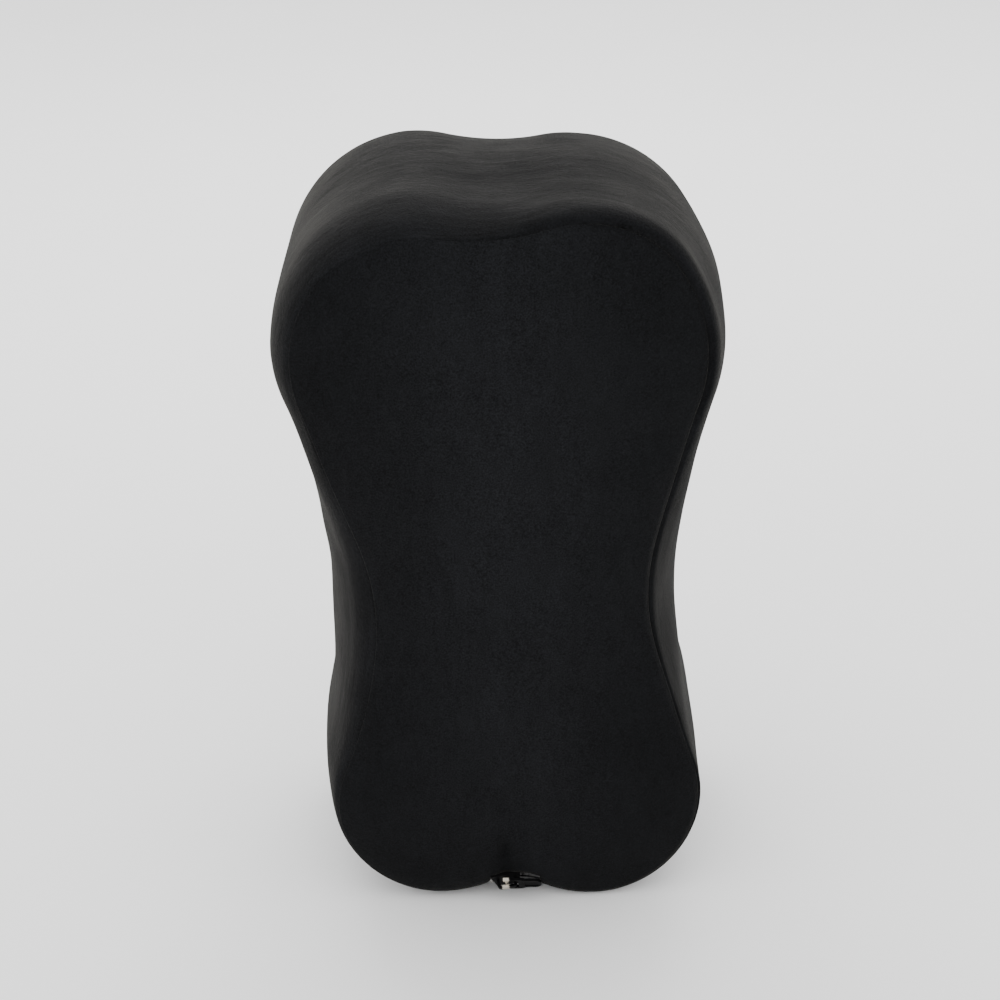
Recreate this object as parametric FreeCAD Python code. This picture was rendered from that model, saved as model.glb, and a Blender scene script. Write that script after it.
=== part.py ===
"""Bone-shaped memory foam headrest cushion with a zipped velour cover and a rear chair strap.

The cushion stands on its lower end: +Z is up its long axis, -Y is the side the head rests on and
+Y is the side against the chair. All sizes are millimetres. One STEP file is written per piece.
"""
import FreeCAD, Part
import math
import os

Vec = FreeCAD.Vector

# Cushion outline: two lobes at each end, a notch between them, a hollow waist at each side.
HEIGHT = 300.0
TOP_LOBE_X = 30.3
TOP_LOBE_R = 54.75
BOTTOM_LOBE_X = 27.8
BOTTOM_LOBE_R = 48.6
TOP_NOTCH_R = 88.8
BOTTOM_NOTCH_R = 25.0
WAIST_R = 215.0

# Cushion depth, and how far the zip pull and the strap's adjuster stand out of it.
DEPTH = 118.5
FRONT_REACH = 2.95
BACK_REACH = 13.95
FRONT_Y = -(DEPTH + BACK_REACH - FRONT_REACH) / 2
BACK_Y = FRONT_Y + DEPTH

# Layers, from the outside in.
COVER_T = 1.5
EDGE_R = 8.0
LINER_INSET = 3.0
LINER_T = 0.6
CORE_INSET = 3.7
CORE_EDGE_R = 18.0
SEAM_GAP = 0.05

# The zip lies in the front seam, where the cover's edge faces 30 degrees away from the front.
ZIP_TILT = 30.0
ZIP_HALF_W = 3.0
ZIP_SLIT = 0.75
ZIP_TOP_H = -2.3
ZIP_BOTTOM_H = -4.7
TAPE_T = 0.5
TAPE_GAP = 0.05
TAPE_BEND_FRONT = 6.0
TAPE_BEND_SIDE = 4.95
TAPE_FLAT = 9.0
ZIP_START = -18.5
STOP_DEG = 2.5
STOP_GAP_DEG = 0.3

# Slider, and the mouth in the cover that it runs in. H is the height out of the cover's edge, and
# the slider rests to the left of the notch's middle, turned about the notch's centre.
SLIDER_REST_DEG = 6.5
SLIDER_HALF_DEG = 10.5
SLIDER_HALF_W = 4.6
SLIDER_WALL = 0.7
SLIDER_POST_HALF_W = 0.4
SLIDER_PLATE_T = 1.1
SLIDER_PLAY = 0.4
PLATE_OVERLAP = 0.2
MOUTH_GAP = 0.6
MOUTH_GAP_DEG = 1.0
MOUTH_H = (-9.0, 3.0)

# Pull tab, measured from its hinge under the slider's crown.
TAB_AXIS_H = 0.9
TAB_REST_DEG = 6.5
TAB_LENGTH = 14.5
TAB_T = 1.2
TAB_EYE_W = 8.4
TAB_GRIP_W = 6.4
TAB_EYE_LENGTH = 4.8
TAB_RIM = 1.2
TAB_TAPER = 2.0
TAB_BAR_R = 0.7
TAB_RECESS_RIM = 0.9
TAB_RECESS_DEPTH = 0.3
TAB_RECESS_CORNER_R = 0.8
CROWN_HALF_LENGTH = 4.0
CROWN_HALF_W = 0.9
CROWN_T = 1.1
CROWN_TOP_H = 3.0
CROWN_CORNER_R = 1.4

# Rear strap: elastic webbing, a ring and an adjuster. U is the distance behind the back panel.
STRAP_W = 30.0
STRAP_T = 1.2
ANCHOR_U = 0.8
INNER_U = 6.7
MAIN_U = 8.0
OUTER_U = 12.1
RING_U = 9.4
GLIDE_U = 10.0
LOWER_END_Z = 28.0
LOWER_FLAT_Z = 50.0
LOWER_RUN_Z = (66.0, 86.0)
GLIDE_Z = 107.0
WEAVE_HALF = 21.0
WEAVE_FLAT = 3.0
LAYER_GAP = 0.1
BAR_GAP = 0.15
LOOP_TOP_Z = 150.0
RING_LOW_Z = 156.0
RING_HIGH_Z = 169.0
UPPER_RUN_Z = 222.0
UPPER_FLAT_Z = 240.0
UPPER_END_Z = 272.0
TAIL_RAMP_Z = (1.5, 13.0)
TAIL_LENGTH = 25.0
END_GAP = 0.15
THREAD = 0.8
THREAD_H = 0.3
STITCH_MARGIN = 3.0
TACK_MARGIN = 2.0
TACK_RISE = (16.0, 21.0)

SLOT_W = 31.0
FRAME_W = 38.0
RING_BAR_R = 2.0
RING_CORNER_R = 2.6
GLIDE_T = 2.5
GLIDE_BAR = 3.0
GLIDE_END = 12.5
GLIDE_CORNER_R = 3.0
BAR_INSET = 0.05
FOLD_RAMP_Z = (9.0, 8.0, 1.0)
FOLD_TIP = 1.6


# ---- outline -------------------------------------------------------------------------------

def lobe(top):
    """Centre and radius of the right-hand lobe at the top or the bottom."""
    if top:
        return TOP_LOBE_X, HEIGHT - TOP_LOBE_R, TOP_LOBE_R
    return BOTTOM_LOBE_X, BOTTOM_LOBE_R, BOTTOM_LOBE_R


def notch(top):
    """Centre and radius of the notch arc, which touches both lobes at that end."""
    x, z, r = lobe(top)
    notch_r = TOP_NOTCH_R if top else BOTTOM_NOTCH_R
    rise = math.sqrt((r + notch_r) ** 2 - x ** 2)
    return 0.0, z + (rise if top else -rise), notch_r


def waist():
    """Centre and radius of the right-hand waist arc, which touches the top and bottom lobes."""
    x1, z1, r1 = lobe(True)
    x0, z0, r0 = lobe(False)
    gap = math.hypot(x1 - x0, z1 - z0)
    a = r0 + WAIST_R
    b = r1 + WAIST_R
    along = (a * a - b * b + gap * gap) / (2 * gap)
    across = math.sqrt(a * a - along * along)
    ux, uz = (x1 - x0) / gap, (z1 - z0) / gap
    return x0 + ux * along + uz * across, z0 + uz * along - ux * across, WAIST_R


def heading(start, end):
    """Angle of the line from one centre to another, in degrees, from +X towards +Z."""
    return math.degrees(math.atan2(end[1] - start[1], end[0] - start[0]))


def right_arcs():
    """The right half of the outline, from the bottom notch up to the top one.

    Each arc is (centre x, centre z, radius, first angle, last angle, side). Side is +1 where the
    cushion lies outside the circle and -1 where it lies inside, so radius + side * inset is the
    radius of the same arc on an inset outline.
    """
    n0, l0, w, l1, n1 = notch(False), lobe(False), waist(), lobe(True), notch(True)
    return [
        (*n0, 90.0, heading(n0, l0), 1),
        (*l0, heading(l0, n0), heading(l0, w), -1),
        (*w, heading(w, l0) % 360, heading(w, l1) % 360, 1),
        (*l1, heading(l1, w), heading(l1, n1), -1),
        (*n1, heading(n1, l1), -90.0, 1),
    ]


def on_arc(arc, share, inset, y):
    x, z, r, first, last, side = arc
    angle = math.radians(first + (last - first) * share)
    rho = r + side * inset
    return Vec(x + rho * math.cos(angle), y, z + rho * math.sin(angle))


def mirrored(point):
    return Vec(-point.x, point.y, point.z)


def outline(inset, y):
    """Closed wire of the cushion's outline, moved in by inset, at depth y."""
    right = []
    for arc in right_arcs():
        right.append([on_arc(arc, share, inset, y) for share in (0.0, 0.5, 1.0)])
    left = [[mirrored(p) for p in reversed(points)] for points in reversed(right)]
    return Part.Wire([Part.Arc(*points).toShape() for points in right + left])


def slab(inset, edge_r):
    """The cushion's full depth, moved in by inset on every side, with rounded front and back."""
    front = FRONT_Y + inset
    back = BACK_Y - inset
    solid = Part.Face(outline(inset, front)).extrude(Vec(0, back - front, 0))
    ends = []
    for edge in solid.Edges:
        box = edge.BoundBox
        if box.YLength < 0.01:
            ends.append(edge)
    return solid.makeFillet(edge_r, ends)


def prism(inset, y0, y1):
    return Part.Face(outline(inset, y0)).extrude(Vec(0, y1 - y0, 0))


# ---- zip -----------------------------------------------------------------------------------

TILT = math.radians(ZIP_TILT)
SEAM_INSET = EDGE_R * (1 - math.sin(TILT))
SEAM_Y = FRONT_Y + EDGE_R * (1 - math.cos(TILT))


def seam_point(w, h):
    """(inset, y) of a point w across the zip towards the front panel and h out of the cover."""
    inset = SEAM_INSET + w * math.cos(TILT) - h * math.sin(TILT)
    y = SEAM_Y - w * math.sin(TILT) - h * math.cos(TILT)
    return inset, y


def swept(section, arc, first, last):
    """A closed section of (inset, y) points turned along one outline arc between two angles."""
    x, z, r, _, _, side = arc
    points = [Vec(x + r + side * inset, y, z) for inset, y in section]
    face = Part.Face(Part.makePolygon(points + points[:1]))
    face.rotate(Vec(x, 0, z), Vec(0, -1, 0), first)
    return face.revolve(Vec(x, 0, z), Vec(0, -1, 0), last - first)


def along_zip(section):
    """The section carried from the closed end of the zip round the lower lobe and the waist."""
    notch_arc, lobe_arc, waist_arc = right_arcs()[:3]
    solid = swept(section, notch_arc, 90 - ZIP_START, notch_arc[4])
    for arc in (lobe_arc, waist_arc):
        solid = solid.fuse(swept(section, arc, arc[3], arc[4]))
    return solid.removeSplitter()


def seam_box(w0, w1, h0, h1):
    return [seam_point(w, h) for w, h in ((w0, h0), (w1, h0), (w1, h1), (w0, h1))]


def thick(points, thickness):
    """Closed section that follows a line of points, half the thickness to each side of it."""
    left, right = [], []
    for i, point in enumerate(points):
        before = points[max(i - 1, 0)]
        after = points[min(i + 1, len(points) - 1)]
        first = (point[0] - before[0], point[1] - before[1])
        second = (after[0] - point[0], after[1] - point[1])
        if i == 0:
            first = second
        if i == len(points) - 1:
            second = first
        a = (first[0] / math.hypot(*first), first[1] / math.hypot(*first))
        b = (second[0] / math.hypot(*second), second[1] / math.hypot(*second))
        mx, my = -(a[1] + b[1]), a[0] + b[0]
        size = math.hypot(mx, my)
        mitre = thickness / 2 / max((mx * -a[1] + my * a[0]) / size, 0.4)
        left.append((point[0] + mx / size * mitre, point[1] + my / size * mitre))
        right.append((point[0] - mx / size * mitre, point[1] - my / size * mitre))
    return left + right[::-1]


def zip_tape(panel_side):
    """Woven tape under one coil row, bent to lie flat inside the panel or the gusset."""
    h = ZIP_BOTTOM_H - TAPE_T / 2 - TAPE_GAP
    if panel_side:
        line = [seam_point(ZIP_SLIT, h), seam_point(TAPE_BEND_FRONT, h)]
        line.append((line[-1][0] + TAPE_FLAT, line[-1][1]))
    else:
        line = [seam_point(-ZIP_SLIT, h), seam_point(-TAPE_BEND_SIDE, h)]
        line.append((line[-1][0], line[-1][1] + TAPE_FLAT))
    return along_zip(thick(line, TAPE_T))


def zip_coil(panel_side):
    """One row of the coil, from the slit down the middle of the zip to the row's outer edge."""
    side = 1 if panel_side else -1
    return along_zip(seam_box(side * ZIP_SLIT, side * ZIP_HALF_W, ZIP_BOTTOM_H, ZIP_TOP_H))


def zip_top_stop():
    arc = right_arcs()[0]
    section = seam_box(-ZIP_HALF_W, ZIP_HALF_W, ZIP_BOTTOM_H, ZIP_TOP_H)
    first = 90 - ZIP_START + STOP_GAP_DEG
    return swept(section, arc, first, first + STOP_DEG)


def zip_bottom_stop():
    arc = right_arcs()[3]
    section = seam_box(-ZIP_HALF_W, ZIP_HALF_W, ZIP_BOTTOM_H, ZIP_TOP_H)
    first = arc[3] + STOP_GAP_DEG
    return swept(section, arc, first, first + STOP_DEG)


def zip_mouth():
    """The opening that the slider runs in, between the front panel and the gusset."""
    arc = right_arcs()[0]
    half = SLIDER_HALF_W + MOUTH_GAP
    return swept(seam_box(-half, half, *MOUTH_H), arc, 90 - ZIP_START + MOUTH_GAP_DEG, arc[4])


def slider_body():
    """Top and bottom plates, the side flanges over the coil rows, and the post between the rows."""
    arc = right_arcs()[0]
    plate = SLIDER_HALF_W
    post = SLIDER_POST_HALF_W
    over = ZIP_TOP_H + SLIDER_PLAY
    under = ZIP_BOTTOM_H - TAPE_T - SLIDER_PLAY
    flange = (ZIP_BOTTOM_H + SLIDER_PLAY, over + PLATE_OVERLAP)
    sections = [
        seam_box(-plate, plate, over, over + SLIDER_PLATE_T),
        seam_box(-plate, plate, under - SLIDER_PLATE_T, under),
        seam_box(-plate, -plate + SLIDER_WALL, *flange),
        seam_box(plate - SLIDER_WALL, plate, *flange),
        seam_box(-post, post, under - PLATE_OVERLAP, over + PLATE_OVERLAP),
    ]
    solid = None
    for section in sections:
        middle = 90 + SLIDER_REST_DEG
        piece = swept(section, arc, middle - SLIDER_HALF_DEG, middle + SLIDER_HALF_DEG)
        solid = piece if solid is None else solid.fuse(piece)
    return solid.removeSplitter()


def seat_on_slider(shape):
    """Carry a shape from its own frame (x along the zip, y across it, z out) to the slider."""
    notch_x, notch_z, notch_r = notch(False)
    shape.rotate(Vec(0, 0, 0), Vec(1, 0, 0), 90 + ZIP_TILT)
    shape.translate(Vec(notch_x, SEAM_Y, notch_z + notch_r + SEAM_INSET))
    shape.rotate(Vec(notch_x, 0, notch_z), Vec(0, -1, 0), SLIDER_REST_DEG)
    return shape


def block(x0, x1, y0, y1, z0, z1):
    return Part.makeBox(x1 - x0, y1 - y0, z1 - z0, Vec(x0, y0, z0))


def slider_crown():
    """Arch that holds the pull tab's bar down on the slider."""
    foot = ZIP_TOP_H + SLIDER_PLAY + SLIDER_PLATE_T
    length = CROWN_HALF_LENGTH
    half = CROWN_HALF_W
    arch = block(-length, length, -half, half, foot, CROWN_TOP_H)
    corners = [e for e in arch.Edges if e.BoundBox.YLength > half and e.BoundBox.ZMin > foot + 1]
    arch = arch.makeFillet(CROWN_CORNER_R, corners)
    inside = block(CROWN_T - length, length - CROWN_T, -half - 1, half + 1, foot - 1,
                   CROWN_TOP_H - CROWN_T)
    return seat_on_slider(arch.cut(inside))


def pull_tab():
    """Eye that goes round the crown, and the grip beyond it, with a rounded tip and a recess."""
    eye = TAB_EYE_W / 2
    grip = TAB_GRIP_W / 2
    neck = TAB_EYE_LENGTH + TAB_RIM
    shoulder = neck + TAB_TAPER
    tip = TAB_LENGTH - grip
    edges = [
        Part.makeLine(Vec(-TAB_RIM, -eye, 0), Vec(neck, -eye, 0)),
        Part.makeLine(Vec(neck, -eye, 0), Vec(shoulder, -grip, 0)),
        Part.makeLine(Vec(shoulder, -grip, 0), Vec(tip, -grip, 0)),
        Part.Arc(Vec(tip, -grip, 0), Vec(TAB_LENGTH, 0, 0), Vec(tip, grip, 0)).toShape(),
        Part.makeLine(Vec(tip, grip, 0), Vec(shoulder, grip, 0)),
        Part.makeLine(Vec(shoulder, grip, 0), Vec(neck, eye, 0)),
        Part.makeLine(Vec(neck, eye, 0), Vec(-TAB_RIM, eye, 0)),
        Part.makeLine(Vec(-TAB_RIM, eye, 0), Vec(-TAB_RIM, -eye, 0)),
    ]
    tab = Part.Face(Part.Wire(edges)).extrude(Vec(0, 0, TAB_T))
    tab.translate(Vec(0, 0, -TAB_T / 2))
    open_half = eye - TAB_RIM
    hole = block(-2 * TAB_RIM, TAB_EYE_LENGTH, -open_half, open_half, -TAB_T, TAB_T)
    bar_half = open_half + TAB_RIM / 2
    bar = Part.makeCylinder(TAB_BAR_R, 2 * bar_half, Vec(0, -bar_half, 0), Vec(0, 1, 0))
    tab = tab.cut(hole).cut(grip_recess(shoulder, tip, grip)).fuse(bar)
    tab.rotate(Vec(0, 0, 0), Vec(0, -1, 0), TAB_REST_DEG)
    tab.translate(Vec(0, 0, TAB_AXIS_H))
    return seat_on_slider(tab.removeSplitter())


def grip_recess(first, tip, grip):
    """Shallow pocket in the outer face of the grip, with rounded corners."""
    half = grip - TAB_RECESS_RIM
    last = tip + half
    floor = TAB_T / 2 - TAB_RECESS_DEPTH
    pocket = block(first - TAB_RECESS_CORNER_R, last, -half, half, floor, TAB_T)
    corners = [e for e in pocket.Edges if e.BoundBox.ZLength > TAB_RECESS_DEPTH]
    return pocket.makeFillet(TAB_RECESS_CORNER_R, corners)


# ---- cushion -------------------------------------------------------------------------------

def cover_shell():
    return slab(0.0, EDGE_R).cut(slab(COVER_T, EDGE_R - COVER_T))


def front_panel(shell):
    inner = prism(SEAM_INSET + SEAM_GAP, FRONT_Y - 1, FRONT_Y + EDGE_R)
    return shell.common(inner).cut(zip_mouth())


def back_panel(shell):
    return shell.common(prism(SEAM_INSET + SEAM_GAP, BACK_Y - EDGE_R, BACK_Y + 1))


def gusset(shell):
    middle = shell.cut(prism(SEAM_INSET - SEAM_GAP, FRONT_Y - 1, FRONT_Y + EDGE_R))
    middle = middle.cut(prism(SEAM_INSET - SEAM_GAP, BACK_Y - EDGE_R, BACK_Y + 1))
    return middle.cut(zip_mouth())


def inner_liner():
    return slab(LINER_INSET, CORE_EDGE_R).cut(slab(LINER_INSET + LINER_T, CORE_EDGE_R - LINER_T))


def foam_core():
    return slab(CORE_INSET, CORE_EDGE_R - CORE_INSET + LINER_INSET)


# ---- strap ---------------------------------------------------------------------------------

def ribbon(line, width=STRAP_W):
    """Webbing that follows a line of (u, z) points, square to the back panel."""
    section = [Vec(-width / 2, BACK_Y + u, z) for u, z in thick(line, STRAP_T)]
    return Part.Face(Part.makePolygon(section + section[:1])).extrude(Vec(width, 0, 0))


def ramp(u0, z0, u1, z1, steps=8):
    """Smooth S between two levels."""
    points = []
    for i in range(steps + 1):
        share = i / steps
        blend = (1 - math.cos(math.pi * share)) / 2
        points.append((u0 + (u1 - u0) * blend, z0 + (z1 - z0) * share))
    return points


def bend(u, z, r, first, last, steps=8):
    """Points round a bar: angles in degrees from +U towards +Z."""
    points = []
    for i in range(steps + 1):
        angle = math.radians(first + (last - first) * i / steps)
        points.append((u + r * math.cos(angle), z + r * math.sin(angle)))
    return points


def strap_lower_end():
    line = [(ANCHOR_U, LOWER_END_Z)] + ramp(ANCHOR_U, LOWER_FLAT_Z, MAIN_U, LOWER_RUN_Z[0])
    return ribbon(line)


def strap_lower_run():
    return ribbon([(MAIN_U, LOWER_RUN_Z[0] + END_GAP), (MAIN_U, LOWER_RUN_Z[1] - END_GAP)])


def strap_weave():
    """The webbing inside the adjuster: behind both end bars and over the sewn loop between."""
    over = GLIDE_U + GLIDE_T / 2 + 1.5 * STRAP_T + 2 * BAR_GAP
    low = GLIDE_Z - WEAVE_HALF
    high = GLIDE_Z + WEAVE_HALF
    end = GLIDE_END + GLIDE_BAR / 2
    line = [(MAIN_U, low)]
    line += ramp(MAIN_U, GLIDE_Z - end + GLIDE_BAR, over, GLIDE_Z - WEAVE_FLAT)
    line += ramp(over, GLIDE_Z + WEAVE_FLAT, MAIN_U, GLIDE_Z + end - GLIDE_BAR)
    line += ramp(MAIN_U, GLIDE_Z + end, OUTER_U, high)
    return ribbon(line)


def strap_fold():
    """The webbing's end, turned round the adjuster's middle bar and sewn back on itself."""
    r = GLIDE_T / 2 + STRAP_T / 2 + BAR_GAP
    flat, top, bottom = [GLIDE_Z + rise for rise in FOLD_RAMP_Z]
    line = [(INNER_U, GLIDE_Z + WEAVE_HALF), (INNER_U, flat)]
    line += ramp(INNER_U, top, GLIDE_U - r, bottom, 4)
    line += bend(GLIDE_U, GLIDE_Z, r, 180, 360)
    line.append((GLIDE_U + r, GLIDE_Z + FOLD_TIP))
    return ribbon(line)


def strap_loop(u):
    z0 = GLIDE_Z + WEAVE_HALF + END_GAP
    return ribbon([(u, z0), (u, LOOP_TOP_Z - END_GAP)])


def strap_turn():
    """The webbing's turn round the ring's lower bar."""
    r = OUTER_U - RING_U
    line = [(OUTER_U, LOOP_TOP_Z)] + bend(RING_U, RING_LOW_Z, r, 0, 180)
    line.append((INNER_U, LOOP_TOP_Z))
    return ribbon(line)


def strap_upper():
    """From the sewn end down to the ring, round its upper bar, and back up to the bar tack."""
    r = OUTER_U - RING_U
    lie = INNER_U + STRAP_T + LAYER_GAP
    tail_low, tail_high = [RING_HIGH_Z + rise for rise in TAIL_RAMP_Z]
    line = [(ANCHOR_U, UPPER_END_Z)] + ramp(ANCHOR_U, UPPER_FLAT_Z, INNER_U, UPPER_RUN_Z)
    line += bend(RING_U, RING_HIGH_Z, r, 180, 360)
    line += ramp(OUTER_U, tail_low, lie, tail_high)
    line.append((lie, RING_HIGH_Z + TAIL_LENGTH))
    return ribbon(line)


def strap_ring():
    """Rectangular ring of round bar with rounded corners."""
    y = BACK_Y + RING_U
    half = SLOT_W / 2 + RING_BAR_R
    plate = block(-half, half, y, y + 1, RING_LOW_Z, RING_HIGH_Z)
    upright = [e for e in plate.Edges if e.BoundBox.YLength > 0.5]
    plate = plate.makeFillet(RING_CORNER_R, upright)
    rim = min(plate.Faces, key=lambda face: face.CenterOfMass.y).OuterWire
    bar = Part.Wire(Part.makeCircle(RING_BAR_R, Vec(0, y, RING_LOW_Z), Vec(1, 0, 0)))
    sweep = Part.BRepOffsetAPI.MakePipeShell(rim)
    sweep.setTransitionMode(1)
    sweep.add(bar)
    sweep.build()
    sweep.makeSolid()
    return sweep.shape()


def tri_glide():
    """Flat adjuster with rounded corners, and a round middle bar between its two slots."""
    y = BACK_Y + GLIDE_U - GLIDE_T / 2
    tall = GLIDE_END + GLIDE_BAR / 2
    frame = block(-FRAME_W / 2, FRAME_W / 2, y, y + GLIDE_T, GLIDE_Z - tall, GLIDE_Z + tall)
    frame = frame.makeFillet(GLIDE_CORNER_R, [e for e in frame.Edges if e.BoundBox.YLength > 1])
    reach = GLIDE_END - GLIDE_BAR / 2
    half = SLOT_W / 2
    frame = frame.cut(block(-half, half, y - 1, y + GLIDE_T + 1, GLIDE_Z - reach, GLIDE_Z + reach))
    start = Vec(-half - 1, y + GLIDE_T / 2, GLIDE_Z)
    bar = Part.makeCylinder(GLIDE_T / 2 - BAR_INSET, SLOT_W + 2, start, Vec(1, 0, 0))
    return frame.fuse(bar).removeSplitter()


def box_stitch(u, z0, z1):
    """Sewn box with a cross in it, lying on the webbing's outer face."""
    half = STRAP_W / 2 - STITCH_MARGIN
    y = BACK_Y + u
    low = z0 + STITCH_MARGIN
    high = z1 - STITCH_MARGIN
    bars = [
        block(-half, half, y, y + THREAD_H, low, low + THREAD),
        block(-half, half, y, y + THREAD_H, high - THREAD, high),
        block(-half, THREAD - half, y, y + THREAD_H, low, high),
        block(half - THREAD, half, y, y + THREAD_H, low, high),
    ]
    mid = (low + high) / 2
    reach = math.hypot(half - THREAD / 2, (high - low - THREAD) / 2)
    slope = math.degrees(math.atan2(high - low, 2 * half))
    for side in (-1, 1):
        bar = block(-reach, reach, y, y + THREAD_H, mid - THREAD / 2, mid + THREAD / 2)
        bar.rotate(Vec(0, y, mid), Vec(0, 1, 0), side * slope)
        bars.append(bar)
    solid = bars[0]
    for bar in bars[1:]:
        solid = solid.fuse(bar)
    return solid.removeSplitter()


def bar_tack():
    """Two rows of thread across the upper strap where it is sewn back on itself."""
    y = BACK_Y + INNER_U + 1.5 * STRAP_T + LAYER_GAP
    half = STRAP_W / 2 - TACK_MARGIN
    rows = []
    for rise in TACK_RISE:
        z = RING_HIGH_Z + rise
        rows.append(block(-half, half, y, y + THREAD_H, z, z + THREAD))
    return Part.makeCompound(rows)


def build():
    shell = cover_shell()
    flat_top = ANCHOR_U + STRAP_T / 2
    return {
        "foam_core": foam_core(),
        "inner_liner": inner_liner(),
        "front_panel": front_panel(shell),
        "back_panel": back_panel(shell),
        "gusset": gusset(shell),
        "zip_tape_front": zip_tape(True),
        "zip_tape_side": zip_tape(False),
        "zip_coil_front": zip_coil(True),
        "zip_coil_side": zip_coil(False),
        "zip_top_stop": zip_top_stop(),
        "zip_bottom_stop": zip_bottom_stop(),
        "slider_body": slider_body(),
        "slider_crown": slider_crown(),
        "pull_tab": pull_tab(),
        "strap_lower_end": strap_lower_end(),
        "strap_lower_run": strap_lower_run(),
        "strap_weave": strap_weave(),
        "strap_fold": strap_fold(),
        "strap_loop_inner": strap_loop(INNER_U),
        "strap_loop_outer": strap_loop(OUTER_U),
        "strap_turn": strap_turn(),
        "strap_upper": strap_upper(),
        "strap_ring": strap_ring(),
        "tri_glide": tri_glide(),
        "lower_box_stitch": box_stitch(flat_top, LOWER_END_Z, LOWER_FLAT_Z),
        "upper_box_stitch": box_stitch(flat_top, UPPER_FLAT_Z, UPPER_END_Z),
        "ring_bar_tack": bar_tack(),
    }


os.makedirs("parts", exist_ok=True)
for name, shape in build().items():
    box = shape.BoundBox
    print(f"{name:18s} solids {len(shape.Solids)} valid {shape.isValid()} "
          f"volume {shape.Volume:11.1f} y {box.YMin:7.2f} {box.YMax:7.2f} "
          f"z {box.ZMin:7.2f} {box.ZMax:7.2f} x {box.XMin:7.2f} {box.XMax:7.2f}")
    shape.exportStep(f"parts/{name}.step")
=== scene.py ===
"""Bone-shaped headrest cushion in black velour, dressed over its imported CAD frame. Metres, +Z up."""
import bpy
import math
import numpy as np
from mathutils import Matrix, Vector, noise


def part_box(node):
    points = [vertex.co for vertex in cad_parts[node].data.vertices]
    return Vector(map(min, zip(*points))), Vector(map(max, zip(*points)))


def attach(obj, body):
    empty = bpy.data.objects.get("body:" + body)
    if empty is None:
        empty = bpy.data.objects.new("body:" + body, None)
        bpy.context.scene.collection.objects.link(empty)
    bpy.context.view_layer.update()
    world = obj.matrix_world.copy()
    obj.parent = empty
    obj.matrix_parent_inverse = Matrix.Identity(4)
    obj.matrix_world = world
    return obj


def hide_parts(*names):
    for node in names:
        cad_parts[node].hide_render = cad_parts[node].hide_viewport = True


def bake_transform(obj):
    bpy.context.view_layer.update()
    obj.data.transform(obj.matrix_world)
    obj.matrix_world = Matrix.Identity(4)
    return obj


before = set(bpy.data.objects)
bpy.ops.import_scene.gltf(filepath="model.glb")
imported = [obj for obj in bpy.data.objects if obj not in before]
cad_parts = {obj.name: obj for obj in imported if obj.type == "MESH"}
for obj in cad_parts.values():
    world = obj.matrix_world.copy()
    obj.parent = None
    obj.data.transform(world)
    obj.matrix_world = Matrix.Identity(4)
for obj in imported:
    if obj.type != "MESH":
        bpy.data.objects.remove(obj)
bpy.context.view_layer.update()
MM = 0.001

# ---- driving dimensions, in millimetres, as in the CAD model -------------------------------------

HEIGHT = 300.0
TOP_LOBE = (30.3, HEIGHT - 54.75, 54.75)
BOTTOM_LOBE = (27.8, 48.6, 48.6)
TOP_NOTCH_R = 88.8
BOTTOM_NOTCH_R = 25.0
WAIST_R = 215.0
DEPTH = 118.5
FRONT_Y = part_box("front_panel")[0][1] / MM
BACK_Y = FRONT_Y + DEPTH
ZIP_TILT = math.radians(30.0)
ZIP_SEAM = (8.0 * (1 - math.sin(ZIP_TILT)), 8.0 * (1 - math.cos(ZIP_TILT)))

# The front edge near each named place (x, z): how far it sits inside the CAD outline, how much
# further in the front seam lies, over what width the gusset rounds down to it, and how soft that
# edge is, from 0 to 1. Less than nothing is a bulge.
PLACES = {
    "top_notch": ((0, 297), -1, 7, 28, 0.7),
    "top_left": ((-35, 300), -1.5, 10, 36, 1),
    "top_right": ((35, 300), -4.5, 7, 8, 0),
    "shoulder_left": ((-84, 245), 0.5, 7.5, 24, 1),
    "shoulder_right": ((84, 245), 3.5, 4, 6, 0),
    "neck_left": ((-72, 195), -1.5, 4.5, 14, 1),
    "neck_right": ((72, 195), 0.5, 2, 4.5, 0),
    "waist_left": ((-62, 142), 7.5, 4, 12, 1),
    "waist_right": ((62, 142), 6, 1.5, 3, 0),
    "hip_left": ((-68, 90), 5, 3.5, 12, 1),
    "hip_right": ((68, 90), -2, 1, 3, 0),
    "foot_left": ((-76, 49), 4, 1, 4, 1),
    "foot_right": ((76, 49), 0, 1, 3, 0.3),
    "heel_left": ((-58, 14), 4, 0.5, 3.5, 1),
    "heel_right": ((58, 14), 0, 0.5, 3, 0.4),
    "base_left": ((-36, 0), 0, 0.5, 4, 1),
    "base_right": ((34, 0), -3, 0.5, 3, 0.6),
    "bottom_notch": ((0, 5), 8, 1, 5, 0.5),
}
PLACE_REACH = 26.0
# The foam fills the waist out past the CAD outline: by how much, at what height, and how far that
# fades up and down from there, each for the left side and the right.
FILL = (10.5, 9.5)
FILL_Z = (140, 160)
FILL_UP = (85, 90)
FILL_DOWN = (70, 75)
# The top lies a little inside the CAD outline, lower on the right, and most at its back edge.
TOP_Z = (240, 296)
TOP_HALF_W = 35
TOP_INSET = 0.5
TOP_DROP = 0.5
BACK_EDGE = 1.5
BACK_TOP_INSET = 2.0
BACK_TOP_DROP = 2.0
LEAN = 2.3
BACK_ROUND = 8.0
BACK_DROP = 3.0
BACK_SOFT = 0.4
SEAM_GROOVE = 1.6
SEAM_GROOVE_W = 0.9
# How deep the cloth sinks at a crisp seam and how much more at a soft one, and how far that reaches.
SEAM_SINK = 0.5
SOFT_SINK = 3.5
SEAM_SINK_REACH = 6.0
FACE_ROUND = 2.0
SOFT_FACE_ROUND = 7.5
FACE_CROWN = 2.0
BACK_CROWN = 0.6
SPINE_Z = (58.0, 236.0)
SPINE_MARGIN = 10.0
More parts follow.
